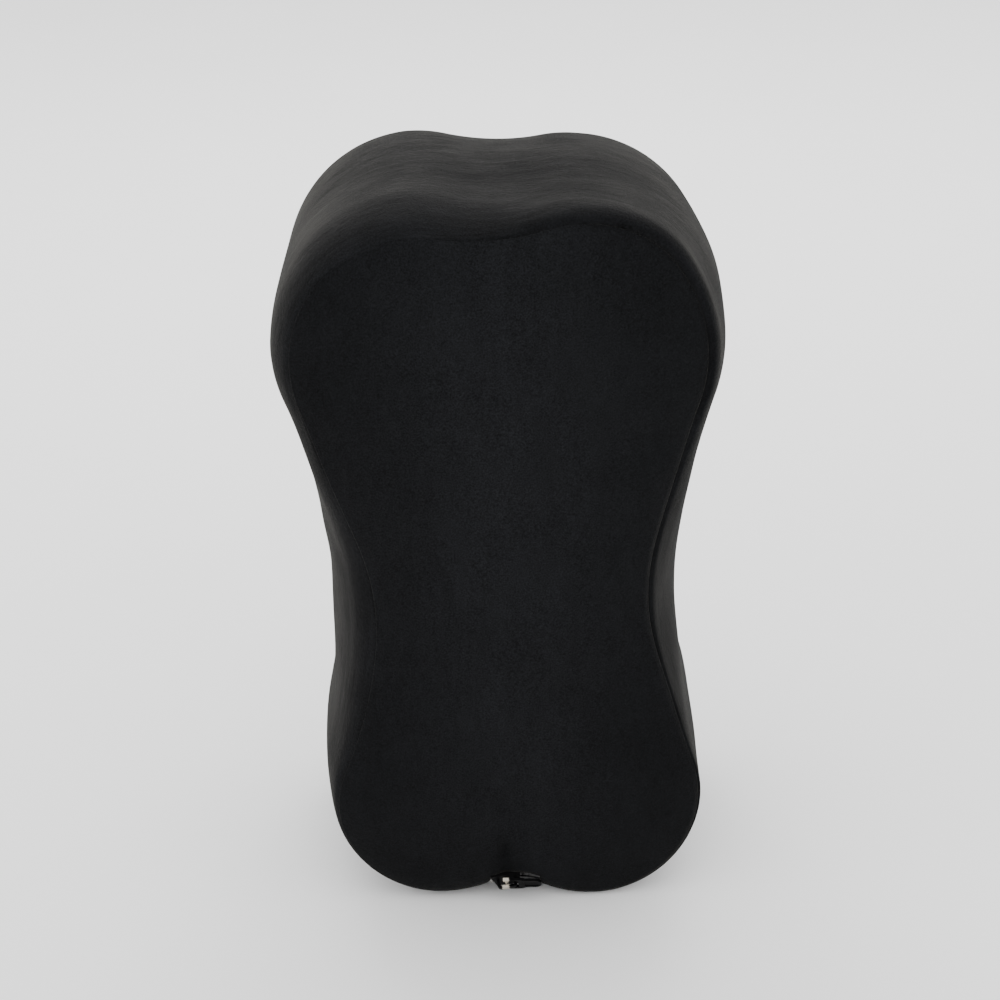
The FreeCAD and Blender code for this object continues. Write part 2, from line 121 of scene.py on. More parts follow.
# Cloth below STAND_Z is eased up off the floor, no lower than FLOOR_GAP.
STAND_Z = 1.2
FLOOR_GAP = 0.05
AROUND = 560
PANEL_GAPS = (0, 0.35, 0.7, 1.1, 1.6, 2.3, 3.2, 4.4, 6, 8, 10.5, 13.5, 17, 21, 25, 30, 35, 40,
              45, 50, 55, 60)
# The slit for the zip's slider, across the seam in millimetres and round the notch in degrees.
MOUTH_REACH = 9.0
SLIT_DEPTH = 5.4
SLIT_HALF_W = (3.0, 4.4)
LIP_HALF_W = (5.0, 8.0)
LIP_HEIGHT = 0.3
MOUTH_START = (-21.5, -18.0)
MOUTH_END = (19.0, 24.0)
# The fold that runs up the face from the bottom notch.
FOLD_X = -3.6
FOLD_DEPTH = 4.5
FOLD_W = 2.2
FOLD_SHARE_AT_TAPE = 0.22
FOLD_SWELL_W = 9.0
CLOTH_T = 1.2

# Cloth simulation of the cover, on a coarser grid of the same rows.
SIM_AROUND = 140
SIM_FRAMES = 14
SIM_PRESSURE = 4.0
SIM_CAP = 1.4
SIM_ROOM = 0.7
SIM_MERGE = 0.13
# What the simulation holds still: cloth near the floor, round the zip, and under the strap.
HELD_FLOOR_Z = 4
HELD_ZIP_Z = 26
HELD_ZIP_HALF_W = 20
HELD_ZIP_DEPTH = 25
HELD_STRAP_HALF_W = 24


def add_object(name, data):
    piece = bpy.data.objects.new(name, data)
    bpy.context.scene.collection.objects.link(piece)
    return piece


# ---- outline ---------------------------------------------------------------------------------------

def heading(start, end):
    return math.atan2(end[1] - start[1], end[0] - start[0])


def notch(lobe, radius, sign):
    return 0.0, lobe[1] + sign * math.sqrt((lobe[2] + radius) ** 2 - lobe[0] ** 2), radius


def waist():
    x1, z1, r1 = TOP_LOBE
    x0, z0, r0 = BOTTOM_LOBE
    gap = math.hypot(x1 - x0, z1 - z0)
    a, b = r0 + WAIST_R, r1 + WAIST_R
    along = (a * a - b * b + gap * gap) / (2 * gap)
    across = math.sqrt(a * a - along * along)
    ux, uz = (x1 - x0) / gap, (z1 - z0) / gap
    return x0 + ux * along + uz * across, z0 + uz * along - ux * across, WAIST_R


LOW_NOTCH = notch(BOTTOM_LOBE, BOTTOM_NOTCH_R, -1)


def outline(count):
    """(points, inward normals) round the CAD outline, evenly spaced, from the bottom notch."""
    top, side = notch(TOP_LOBE, TOP_NOTCH_R, 1), waist()
    arcs = [
        (LOW_NOTCH, math.pi / 2, heading(LOW_NOTCH, BOTTOM_LOBE), 1),
        (BOTTOM_LOBE, heading(BOTTOM_LOBE, LOW_NOTCH), heading(BOTTOM_LOBE, side), -1),
        (side, heading(side, BOTTOM_LOBE) % math.tau, heading(side, TOP_LOBE) % math.tau, 1),
        (TOP_LOBE, heading(TOP_LOBE, side), heading(TOP_LOBE, top), -1),
        (top, heading(top, TOP_LOBE), -math.pi / 2, 1),
    ]
    lengths = [abs(last - first) * circle[2] for circle, first, last, _ in arcs]
    points, normals = [], []
    for step in range(count // 2 + 1):
        left = sum(lengths) * step / (count // 2)
        for (circle, first, last, side_), length in zip(arcs, lengths):
            if left <= length + 1e-9:
                break
            left -= length
        angle = first + (last - first) * min(left / length, 1.0)
        out = np.array([math.cos(angle), math.sin(angle)])
        points.append(np.array(circle[:2]) + circle[2] * out)
        normals.append(side_ * out)
    flip = np.array([-1.0, 1.0])
    points += [p * flip for p in points[-2:0:-1]]
    normals += [n * flip for n in normals[-2:0:-1]]
    return np.array(points), np.array(normals)


def place_values(points, column):
    """The named places' values blended smoothly round the outline."""
    centres = np.array([place[0] for place in PLACES.values()], float)
    values = np.array([place[column] for place in PLACES.values()], float)
    gap = ((points[:, None, :] - centres[None]) ** 2).sum(2)
    weight = np.exp(-gap / (2 * PLACE_REACH ** 2))
    return weight @ values / weight.sum(1)


def smooth(low, high, value):
    share = np.clip((value - low) / (high - low), 0, 1)
    return share * share * (3 - 2 * share)


# ---- cushion ---------------------------------------------------------------------------------------

def softness(points):
    """0 where the front edge is crisp, 1 where it is softly rounded."""
    return place_values(points, 4)


def middle_inset(points):
    """How far the gusset's middle sits inside the CAD outline, less than nothing at the full waist."""
    x, z = points[:, 0], points[:, 1]
    right = smooth(-TOP_HALF_W, TOP_HALF_W, x)
    fill, centre, up, down = [left + (other - left) * right
                              for left, other in (FILL, FILL_Z, FILL_UP, FILL_DOWN)]
    fade = (z - centre) / np.where(z > centre, up, down)
    across = np.clip(x / TOP_HALF_W, -1, 1)
    return smooth(*TOP_Z, z) * (TOP_INSET + TOP_DROP * across) - fill * np.exp(-fade ** 2)


def back_inset(points):
    """How far the gusset's back edge sits inside the CAD outline."""
    x, z = points[:, 0], points[:, 1]
    across = np.clip(x / TOP_HALF_W, -1, 1)
    return BACK_EDGE + smooth(*TOP_Z, z) * (BACK_TOP_INSET + BACK_TOP_DROP * across)


def section(points, gap):
    """(inset, y) of the gusset at a distance behind the front seam, for every outline point."""
    from_front = gap < DEPTH / 2
    near = min(gap, DEPTH - gap)
    drop = place_values(points, 2) if from_front else BACK_DROP
    width = place_values(points, 3) if from_front else BACK_ROUND
    edge = np.clip(1 - near / width, 0, 1) ** 2
    soft = softness(points) if from_front else BACK_SOFT
    rounding = soft * edge + (1 - soft) * (1 - np.sqrt(1 - edge))
    middle = middle_inset(points)
    belly = (1 - 2 * near / DEPTH) ** 2
    side = place_values(points, 1) if from_front else back_inset(points)
    inset = middle + belly * (side - middle) + drop * rounding + SIM_ROOM * (1 - belly)
    groove = (1 - soft) * SEAM_GROOVE * math.exp(-(near / SEAM_GROOVE_W) ** 2)
    sink = (SEAM_SINK + SOFT_SINK * soft) * math.exp(-near / SEAM_SINK_REACH) + groove
    return inset, FRONT_Y + gap + (sink if from_front else -sink)


def mouth(points, inset, y):
    """Opens the front seam round the zip's slider: moves (inset, y) into the cushion there."""
    angle = np.degrees(np.arctan2(points[:, 0], points[:, 1] - LOW_NOTCH[1]))
    across = (inset - ZIP_SEAM[0]) * math.cos(ZIP_TILT)
    across = across - (y - FRONT_Y - ZIP_SEAM[1]) * math.sin(ZIP_TILT)
    near_notch = (points[:, 1] < 20) * smooth(*MOUTH_START, angle) * (1 - smooth(*MOUTH_END, angle))
    beyond_slit = smooth(*SLIT_HALF_W, np.abs(across))
    slit = SLIT_DEPTH * (1 - beyond_slit)
    lip = LIP_HEIGHT * beyond_slit * (1 - smooth(*LIP_HALF_W, np.abs(across)))
    depth = near_notch * (slit - lip)
    return inset + depth * math.sin(ZIP_TILT), y + depth * math.cos(ZIP_TILT)


def place_on(points, normals, inset, y):
    """Rows of 3-D points, with the cushion's slight lean, and flat where it stands."""
    xz = points + normals * inset[:, None]
    x = xz[:, 0] + LEAN * xz[:, 1] / HEIGHT
    z = xz[:, 1]
    room = STAND_Z - FLOOR_GAP
    z = np.where(z < STAND_Z, FLOOR_GAP + room * np.exp((z - STAND_Z) / room), z)
    return np.stack([x, y, z], 1)


def ripple(rows, normals, size, amount, seed):
    """Soft unevenness of cloth over foam, along the given directions."""
    flat = rows.reshape(-1, 3)
    push = np.array([noise.noise(Vector(p / size) + Vector((seed, 0, 0))) for p in flat])
    return rows + amount * push.reshape(rows.shape[:-1])[..., None] * normals


def grid_mesh(name, rows, material, closed=True, uv=None):
    """A mesh from rows of points, each row joined to the next, in metres."""
    count, across = rows.shape[:2]
    faces = []
    for i in range(count - 1):
        for j in range(across if closed else across - 1):
            k = (j + 1) % across
            a, b = i * across, (i + 1) * across
            faces.append((a + j, a + k, b + k, b + j))
    mesh = bpy.data.meshes.new(name)
    mesh.from_pydata((rows.reshape(-1, 3) * MM).tolist(), [], faces)
    mesh.shade_smooth()
    if uv is not None:
        layer = mesh.uv_layers.new(name="UVMap")
        flat = uv.reshape(-1, 2)
        corner = np.empty(len(mesh.loops), np.int32)
        mesh.loops.foreach_get("vertex_index", corner)
        layer.data.foreach_set("uv", flat[corner].astype(np.float32).ravel())
    mesh.materials.append(material)
    return add_object(name, mesh)


def weld(piece, distance=2e-5):
    modifier = piece.modifiers.new("weld", "WELD")
    modifier.merge_threshold = distance


def cloth_thickness(piece):
    modifier = piece.modifiers.new("thickness", "SOLIDIFY")
    modifier.thickness = CLOTH_T * MM
    modifier.offset = -1.0


def row_gaps():
    """Distances behind the front seam: close together at both seams."""
    near = [0, 0.35, 0.7, 1.1, 1.6, 2.2, 3, 4, 5.2, 6.6, 8.2]
    middle = list(np.linspace(10.5, DEPTH - 10.5, 27))
    return near + middle + [DEPTH - g for g in reversed(near)]


def gusset_rows(count=AROUND):
    """Rows of the gusset from the front seam to the back one."""
    points, normals = outline(count)
    rows = []
    for gap in row_gaps():
        inset, y = section(points, gap)
        inset, y = mouth(points, inset, y)
        rows.append(place_on(points, normals, inset, y))
    return np.array(rows)


def panel_rows(front, count=AROUND):
    """Rows of a face from its seam to a spine up the middle."""
    points, normals = outline(count)
    inset, edge_y = section(points, 0.0 if front else DEPTH)
    edge = points + normals * inset[:, None]
    low, high = SPINE_Z
    share_up = (points[:, 1] - SPINE_MARGIN) / (HEIGHT - 2 * SPINE_MARGIN)
    spine_z = np.clip(low + share_up * (high - low), low, high)
    spine = np.stack([np.zeros(len(edge)), spine_z], 1)
    reach = np.hypot(*(spine - edge).T)
    face_y = FRONT_Y if front else BACK_Y
    soft = softness(points) if front else BACK_SOFT
    width = FACE_ROUND + SOFT_FACE_ROUND * soft
    groove = (1 - soft) * SEAM_GROOVE
    sink = np.abs(edge_y - face_y) - groove
    rows = []
    for gap in PANEL_GAPS:
        share = gap / PANEL_GAPS[-1]
        step = reach * share
        xz = edge + (spine - edge) * share
        crown = (FACE_CROWN if front else BACK_CROWN) * (1 - (1 - share) ** 2)
        edge_fall = sink * np.exp(-step / width) + groove * np.exp(-(step / SEAM_GROOVE_W) ** 2)
        depth = edge_fall * (1 - share) - crown
        row_y = face_y + (depth if front else -depth)
        if front:
            _, opened = mouth(points, inset + step, row_y)
            slit = np.where(step < MOUTH_REACH, opened - row_y, 0.0)
            closed = 1 - np.clip(slit / (SLIT_DEPTH * math.cos(ZIP_TILT)), 0, 1)
            row_y = row_y + slit + crease(xz) * closed
        x = xz[:, 0] + LEAN * xz[:, 1] / HEIGHT
        rows.append(np.stack([x, row_y, xz[:, 1]], 1))
    return np.array(rows)


def crease(xz):
    """The fold that runs up the face from the bottom notch, shallow where it crosses the zip tape."""
    x, z = xz[:, 0], xz[:, 1]
    fade = (1 - smooth(12.0, 42.0, z)) * smooth(2.0, 9.0, z)
    over_tape = FOLD_SHARE_AT_TAPE + (1 - FOLD_SHARE_AT_TAPE) * smooth(19.0, 26.0, z)
    across = x - FOLD_X
    dip = FOLD_DEPTH * over_tape * np.exp(-(across / FOLD_W) ** 2)
    return fade * (dip - np.exp(-(across / FOLD_SWELL_W) ** 2))


# ---- materials -------------------------------------------------------------------------------------

VELOUR_COLOUR = (0.0050, 0.0053, 0.0061)


def new_material(name):
    material = bpy.data.materials.new(name)
    material.use_nodes = True
    tree = material.node_tree
    return material, tree, tree.nodes["Principled BSDF"]


def coordinates(tree, scale=(1, 1, 1), kind="Object"):
    source = tree.nodes.new("ShaderNodeTexCoord")
    mapping = tree.nodes.new("ShaderNodeMapping")
    mapping.inputs["Scale"].default_value = scale
    tree.links.new(source.outputs[kind], mapping.inputs["Vector"])
    return mapping.outputs["Vector"]


def split_xyz(tree, vector):
    node = tree.nodes.new("ShaderNodeSeparateXYZ")
    tree.links.new(vector, node.inputs["Vector"])
    return node.outputs["X"], node.outputs["Y"], node.outputs["Z"]


def noise_node(tree, vector, scale, detail=2.0, roughness=0.5):
    node = tree.nodes.new("ShaderNodeTexNoise")
    node.inputs["Scale"].default_value = scale
    node.inputs["Detail"].default_value = detail
    node.inputs["Roughness"].default_value = roughness
    tree.links.new(vector, node.inputs["Vector"])
    return node.outputs["Fac"]


def spread(tree, value, low, high, out_low, out_high):
    node = tree.nodes.new("ShaderNodeMapRange")
    node.inputs["From Min"].default_value = low
    node.inputs["From Max"].default_value = high
    node.inputs["To Min"].default_value = out_low
    node.inputs["To Max"].default_value = out_high
    tree.links.new(value, node.inputs["Value"])
    return node.outputs["Result"]


def maths(tree, operation, first, second):
    node = tree.nodes.new("ShaderNodeMath")
    node.operation = operation
    for socket, value in zip(node.inputs, (first, second)):
        if isinstance(value, (int, float)):
            socket.default_value = value
        else:
            tree.links.new(value, socket)
    return node.outputs["Value"]


def bump(tree, bsdf, height, distance, strength=1.0):
    node = tree.nodes.new("ShaderNodeBump")
    node.inputs["Distance"].default_value = distance
    node.inputs["Strength"].default_value = strength
    tree.links.new(height, node.inputs["Height"])
    tree.links.new(node.outputs["Normal"], bsdf.inputs["Normal"])


def tinted(tree, bsdf, colour, factor):
    """Base colour multiplied by a factor that varies over the surface."""
    node = tree.nodes.new("ShaderNodeVectorMath")
    node.operation = "SCALE"
    node.inputs[0].default_value = colour
    tree.links.new(factor, node.inputs["Scale"])
    tree.links.new(node.outputs["Vector"], bsdf.inputs["Base Color"])


def bell(tree, value, centre, width):
    """1 at the centre and falling smoothly to 0 either side of it."""
    away = maths(tree, "DIVIDE", maths(tree, "SUBTRACT", value, centre), width)
    return maths(tree, "POWER", 0.5, maths(tree, "MULTIPLY", away, away))


def face_tone_and_fold_shade(tree, vector):
    """The face's pile: lighter along the middle, darker towards the bottom, and with painted shade in the
    fold low down.
    """
    x, _, z = split_xyz(tree, vector)
    middle = spread(tree, bell(tree, x, 0.0, 0.038), 0, 1, 0.68, 1.2)
    lower = spread(tree, z, 0.0, 0.16, 0.74, 1.0)
    # Painted shade in the fold: colour and sheen darkened where the crease runs up from the notch.
    fold = maths(tree, "MULTIPLY", bell(tree, x, FOLD_X * MM, 0.006), bell(tree, z, 0.014, 0.012))
    face = maths(tree, "MULTIPLY", middle, lower)
    return maths(tree, "MULTIPLY", face, spread(tree, fold, 0, 1, 1.0, 0.45))


def painted_light_on_gusset(tree, vector):
    """Painted light and shade on the gusset's pile: painted shade behind the front seam and at the sides,
    most of all on the right, and painted light towards the back edge and the top.
    """
    x, y, z = split_xyz(tree, vector)
    # Painted shade behind the front seam, painted light towards the back, on the top and on the left; scales
    # colour and sheen.
    seam = spread(tree, bell(tree, y, FRONT_Y * MM, 0.008), 0, 1, 0.62, 0.82)
    middle = spread(tree, y, FRONT_Y * MM, -0.004, 0.0, 0.12)
    back = spread(tree, y, -0.004, BACK_Y * MM, 0.0, 0.4)
    depth = maths(tree, "ADD", seam, maths(tree, "ADD", middle, back))
    height = spread(tree, z, 0.19, 0.28, 0.82, 1.0)
    along = spread(tree, x, -0.06, 0.06, 1.14, 0.88)
    return maths(tree, "MULTIPLY", maths(tree, "MULTIPLY", depth, height), along)


def round_the_band(tree, plain, along, across):
    """Texture coordinates that run round the gusset, with X added so that its halves differ."""
    x, _, _ = split_xyz(tree, plain)
    round_it, behind, _ = split_xyz(tree, coordinates(tree, kind="UV"))
    joined = tree.nodes.new("ShaderNodeCombineXYZ")
    tree.links.new(maths(tree, "MULTIPLY", round_it, along), joined.inputs["X"])
    tree.links.new(maths(tree, "MULTIPLY", behind, across), joined.inputs["Y"])
    tree.links.new(maths(tree, "MULTIPLY", x, along), joined.inputs["Z"])
    return joined.outputs["Vector"]


def velour(name, streak, sheen=1.0, patches=0.25, face=False):
    """Black short-pile velour: brushed patches, streaks along one direction, and a fine pile."""
    material, tree, bsdf = new_material(name)
    plain = coordinates(tree)
    brushed = coordinates(tree, streak) if face else round_the_band(tree, plain, streak[0], streak[1])
    patch = noise_node(tree, plain, 22, 3, 0.55)
    strokes = noise_node(tree, brushed, 60, 4, 0.6)
    pile = noise_node(tree, plain, 1500, 3, 0.7)
    fine_strokes = noise_node(tree, brushed, 170, 3, 0.6)
    nap = maths(tree, "ADD", spread(tree, patch, 0.3, 0.7, -patches, patches),
                maths(tree, "ADD", spread(tree, strokes, 0.3, 0.7, -patches * 0.6, patches * 0.6),
                      spread(tree, fine_strokes, 0.3, 0.7, -patches * 0.7, patches * 0.7)))
    grain = spread(tree, pile, 0.3, 0.7, -0.75, 0.75)
    factor = maths(tree, "ADD", maths(tree, "ADD", nap, grain), 1.0)
    lit = maths(tree, "ADD", maths(tree, "ADD", nap, maths(tree, "MULTIPLY", grain, 0.5)), 1.0)
    # Colour and sheen scaled by painted shade in the face's fold, and by painted light and shade over the
    # gusset.
    tone_and_painted_light = face_tone_and_fold_shade(tree, plain) if face else painted_light_on_gusset(tree, plain)
    factor = maths(tree, "MULTIPLY", factor, tone_and_painted_light)
    lit = maths(tree, "MULTIPLY", lit, tone_and_painted_light)
    tinted(tree, bsdf, VELOUR_COLOUR, factor)
    tree.links.new(maths(tree, "MULTIPLY", lit, sheen), bsdf.inputs["Sheen Weight"])
    bsdf.inputs["Sheen Roughness"].default_value = 0.34
    bsdf.inputs["Sheen Tint"].default_value = (0.205, 0.193, 0.166, 1)
    bsdf.inputs["Roughness"].default_value = 0.95
    bsdf.inputs["Specular IOR Level"].default_value = 0.1
    height = maths(tree, "ADD", maths(tree, "MULTIPLY", pile, 0.7),
                   maths(tree, "MULTIPLY", noise_node(tree, plain, 600, 2, 0.5), 0.5))
    bump(tree, bsdf, height, 0.00035)
    return material


RIB_PITCH = 1.5
WEFT_PITCH = 0.9


def webbing_material(name):
    """Woven elastic: ribs along the strap and a weft across it."""
    material, tree, bsdf = new_material(name)
    across, along, _ = split_xyz(tree, coordinates(tree, kind="UV"))
    ribs = maths(tree, "SINE", maths(tree, "MULTIPLY", across, math.tau / RIB_PITCH), 0)
    weft = maths(tree, "SINE", maths(tree, "MULTIPLY", along, math.tau / WEFT_PITCH), 0)
    shift = maths(tree, "MULTIPLY", ribs, weft)
    height = maths(tree, "ADD", maths(tree, "MULTIPLY", ribs, 0.6), maths(tree, "MULTIPLY", shift, 0.5))
    fuzz = noise_node(tree, coordinates(tree), 1500, 3, 0.6)
    factor = maths(tree, "ADD", spread(tree, height, -1, 1, 0.65, 1.25),
                   spread(tree, fuzz, 0.3, 0.7, -0.2, 0.2))
    tinted(tree, bsdf, (0.006, 0.006, 0.0065), factor)
    bsdf.inputs["Roughness"].default_value = 0.72
    bsdf.inputs["Sheen Weight"].default_value = 0.06
    bsdf.inputs["Specular IOR Level"].default_value = 0.2
    bump(tree, bsdf, height, 0.00018)
    return material


NICKEL_COLOUR = (0.60, 0.56, 0.48)
# Painted highlight: the band of x, in millimetres, where enamel gives way to bright nickel, and how much its
# edge wanders and fades.
PAINTED_HIGHLIGHT_X = (-5.0, -2.6)
HIGHLIGHT_WANDER = 0.3
HIGHLIGHT_FADE = 0.4


def metal_material(name, colour=NICKEL_COLOUR):
    """Nickel plate, polished, with fine rub marks and slight clouding."""
    material, tree, bsdf = new_material(name)
    rub = noise_node(tree, coordinates(tree, (1, 6, 1)), 900, 4, 0.7)
    cloud = noise_node(tree, coordinates(tree), 180, 3, 0.5)
    tinted(tree, bsdf, colour, spread(tree, cloud, 0.3, 0.7, 0.85, 1.1))
    bsdf.inputs["Metallic"].default_value = 1.0
    tree.links.new(spread(tree, rub, 0.3, 0.75, 0.10, 0.30), bsdf.inputs["Roughness"])
    bump(tree, bsdf, rub, 0.00001, 0.4)
    return material


def enamel_material(name, painted_highlight=None):
    """Black enamel over nickel, dull with scuffs, and with a painted highlight, a band of bright nickel
    between two x, if they are given.
    """
    material, tree, bsdf = new_material(name)
    plain = coordinates(tree)
    peel = noise_node(tree, plain, 900, 2, 0.5)
    scuff = noise_node(tree, coordinates(tree, (1, 4, 1)), 400, 4, 0.7)
    tinted(tree, bsdf, (0.0012, 0.0012, 0.0014), spread(tree, scuff, 0.35, 0.75, 0.8, 1.8))
    tree.links.new(spread(tree, scuff, 0.35, 0.75, 0.35, 0.6), bsdf.inputs["Roughness"])
    bsdf.inputs["Specular IOR Level"].default_value = 0.04
    bump(tree, bsdf, peel, 0.00002, 0.5)
    # Painted highlight: a band of bright nickel across the part at fixed x.
    if painted_highlight:
        x, _, _ = split_xyz(tree, plain)
        wander = spread(tree, scuff, 0.3, 0.7, -HIGHLIGHT_WANDER * MM, HIGHLIGHT_WANDER * MM)
        edge = maths(tree, "SUBTRACT", x, wander)
        low, high = painted_highlight
        bright = maths(tree, "MULTIPLY", spread(tree, edge, (low - HIGHLIGHT_FADE) * MM, low * MM, 0.0, 1.0),
                       spread(tree, edge, high * MM, (high + HIGHLIGHT_FADE) * MM, 1.0, 0.0))
        tree.links.new(bright, bsdf.inputs["Metallic"])
        base = tree.nodes.new("ShaderNodeMix")
        base.data_type = "RGBA"
        tree.links.new(bright, base.inputs["Factor"])
        tree.links.new(bsdf.inputs["Base Color"].links[0].from_socket, base.inputs["A"])
        base.inputs["B"].default_value = (*NICKEL_COLOUR, 1)
        tree.links.new(base.outputs["Result"], bsdf.inputs["Base Color"])
    return material


def plastic_material(name):
    """Moulded black acetal with a fine spark texture."""
    material, tree, bsdf = new_material(name)
    vector = coordinates(tree)
    spark = noise_node(tree, vector, 2200, 2, 0.5)
    cloud = noise_node(tree, vector, 120, 3, 0.5)
    tinted(tree, bsdf, (0.008, 0.008, 0.0085), spread(tree, cloud, 0.3, 0.7, 0.85, 1.2))
    tree.links.new(spread(tree, cloud, 0.3, 0.7, 0.34, 0.46), bsdf.inputs["Roughness"])
    bump(tree, bsdf, spark, 0.00004)
    return material


def coil_material(name):
    """Nylon coil: a groove for each turn of the wire."""
    material, tree, bsdf = new_material(name)
    wire = tree.nodes.new("ShaderNodeTexWave")
    wire.wave_type = "BANDS"
    wire.inputs["Scale"].default_value = 110
    tree.links.new(coordinates(tree), wire.inputs["Vector"])
    tinted(tree, bsdf, (0.014, 0.014, 0.014), spread(tree, wire.outputs["Fac"], 0, 1, 0.6, 1.3))
    bsdf.inputs["Roughness"].default_value = 0.4
    bump(tree, bsdf, wire.outputs["Fac"], 0.0004)
    return material


def tape_material(name):
    material, tree, bsdf = new_material(name)
    weave = noise_node(tree, coordinates(tree, (1, 1, 3)), 1800, 2, 0.5)
    tinted(tree, bsdf, (0.012, 0.012, 0.013), spread(tree, weave, 0.3, 0.7, 0.7, 1.3))
    bsdf.inputs["Roughness"].default_value = 0.85
    bump(tree, bsdf, weave, 0.0002)
    return material


def thread_material(name):
    material, tree, bsdf = new_material(name)
    twist = noise_node(tree, coordinates(tree, (1, 1, 2)), 2500, 2, 0.6)
    tinted(tree, bsdf, (0.016, 0.016, 0.017), spread(tree, twist, 0.3, 0.7, 0.7, 1.3))
    bsdf.inputs["Roughness"].default_value = 0.5
    bump(tree, bsdf, twist, 0.0001)
    return material


def foam_material(name):
    """Cream memory foam: open cells of uneven size."""
    material, tree, bsdf = new_material(name)
    cells = tree.nodes.new("ShaderNodeTexVoronoi")
    cells.inputs["Scale"].default_value = 900
    tree.links.new(coordinates(tree), cells.inputs["Vector"])
    age = noise_node(tree, coordinates(tree), 30, 3, 0.5)
    tinted(tree, bsdf, (0.80, 0.76, 0.62), spread(tree, age, 0.3, 0.7, 0.9, 1.05))
    bsdf.inputs["Roughness"].default_value = 0.95
    bump(tree, bsdf, cells.outputs["Distance"], 0.0005)
    return material


def liner_material(name):
    """White knitted liner."""
    material, tree, bsdf = new_material(name)
    knit = noise_node(tree, coordinates(tree, (1, 1, 2.5)), 1400, 2, 0.5)
    tinted(tree, bsdf, (0.72, 0.72, 0.72), spread(tree, knit, 0.3, 0.7, 0.8, 1.1))
    bsdf.inputs["Roughness"].default_value = 0.9
    bump(tree, bsdf, knit, 0.0003)
    return material


# ---- soft pieces -----------------------------------------------------------------------------------

def cover_rows(count):
    return {"gusset": gusset_rows(count), "front": panel_rows(True, count), "back": panel_rows(False, count)}


def held(rows, name):
    """Where the foam, a seam, the zip, the strap or the floor keeps the cloth from moving."""
    x, y, z = rows[..., 0], rows[..., 1], rows[..., 2]
    fixed = z < HELD_FLOOR_Z
    fixed |= (z < HELD_ZIP_Z) & (np.abs(x) < HELD_ZIP_HALF_W) & (y < FRONT_Y + HELD_ZIP_DEPTH)
    if name == "back":
        fixed |= np.abs(x) < HELD_STRAP_HALF_W
    fixed[0] = True
    if name == "gusset":
        fixed[-1] = True
    return fixed


def settle():
    """Cloth simulation of the whole sewn cover: how far each row point moves, in millimetres."""
    blocks = cover_rows(SIM_AROUND)
    points = np.concatenate([rows.reshape(-1, 3) for rows in blocks.values()])
    pinned = np.concatenate([held(rows, name).ravel() for name, rows in blocks.items()])
    cells = np.round(points / SIM_MERGE)
    _, first, merged = np.unique(cells, axis=0, return_index=True, return_inverse=True)
    merged = merged.ravel()
    faces = []
    base = 0
    for name, rows in blocks.items():
        for i in range(len(rows) - 1):
            for j in range(SIM_AROUND):
                k = (j + 1) % SIM_AROUND
                a = base + i * SIM_AROUND
                quad = [merged[a + j], merged[a + k], merged[a + SIM_AROUND + k], merged[a + SIM_AROUND + j]]
                ring = list(dict.fromkeys(quad if name == "front" else quad[::-1]))
                if len(ring) > 2:
                    faces.append([int(v) for v in ring])
        base += rows.shape[0] * SIM_AROUND
    rest = points[first] * MM
    mesh = bpy.data.meshes.new("cover_sim")
    mesh.from_pydata(rest.tolist(), [], faces)
    piece = add_object("cover_sim", mesh)
    scene = bpy.context.scene
    group = piece.vertex_groups.new(name="held")
    pins = np.zeros(len(rest), bool)
    np.logical_or.at(pins, merged, pinned)
    group.add([int(v) for v in np.flatnonzero(pins)], 1.0, "REPLACE")
    cloth = piece.modifiers.new("cloth", "CLOTH")
    cloth.settings.quality = 6
    cloth.settings.mass = 0.3
    cloth.settings.tension_stiffness = 15
    cloth.settings.compression_stiffness = 15
    cloth.settings.shear_stiffness = 5
    cloth.settings.bending_stiffness = 0.5
    cloth.settings.use_pressure = True
    cloth.settings.uniform_pressure_force = SIM_PRESSURE
    cloth.settings.effector_weights.gravity = 0
    cloth.settings.vertex_group_mass = "held"
    cloth.collision_settings.use_collision = False
    cloth.point_cache.frame_start = 1
    cloth.point_cache.frame_end = SIM_FRAMES
    for step in range(1, SIM_FRAMES + 1):
        scene.frame_set(step)
    result = piece.evaluated_get(bpy.context.evaluated_depsgraph_get()).data
    moved = np.empty(len(rest) * 3, np.float32)
    result.vertices.foreach_get("co", moved)
    shift = (moved.reshape(-1, 3) - rest) / MM
    bpy.data.objects.remove(piece)
    bpy.data.meshes.remove(mesh)
    scene.frame_set(1)
    size = np.linalg.norm(shift, axis=1)
    shift *= (SIM_CAP * np.tanh(size / SIM_CAP) / np.maximum(size, 1e-9))[:, None]
    shift = shift[merged]
    moves = {}
    base = 0
    for name, rows in blocks.items():
        moves[name] = shift[base:base + rows.shape[0] * SIM_AROUND].reshape(rows.shape)
        base += rows.shape[0] * SIM_AROUND
    return moves


def refine(move, spine=False):
    """The simulated movement carried from the coarse columns to the fine ones.

    A panel's last row runs up its spine and down again, so both ways get the same movement.
    """
    ratio = AROUND // SIM_AROUND
    for _ in range(2):
        move[1:-1] = (move[:-2] + 2 * move[1:-1] + move[2:]) / 4
        move = (np.roll(move, 1, 1) + 2 * move + np.roll(move, -1, 1)) / 4
    if spine:
        move[-1] = (move[-1] + np.roll(move[-1][::-1], 1, 0)) / 2
    fine = np.empty((move.shape[0], AROUND, 3))
    after = np.roll(move, -1, 1)
    before = np.roll(move, 1, 1)
    beyond = np.roll(move, -2, 1)
    for k in range(ratio):
        t = k / ratio
        fine[:, k::ratio] = 0.5 * (2 * move + (after - before) * t
                                   + (2 * before - 5 * move + 4 * after - beyond) * t ** 2
                                   + (3 * move - before - 3 * after + beyond) * t ** 3)
    return fine


def band_uv(rows):
    """Metres round the band from the bottom notch, either way, and metres behind the front seam."""
    count = rows.shape[1]
    step = np.linalg.norm(np.roll(rows[0], -1, 0) - rows[0], axis=1).mean() * MM
    along = np.minimum(np.arange(count), count - np.arange(count)) * step
    behind = np.array(row_gaps()) * MM
    return np.stack(np.broadcast_arrays(along[None, :], behind[:, None]), -1)


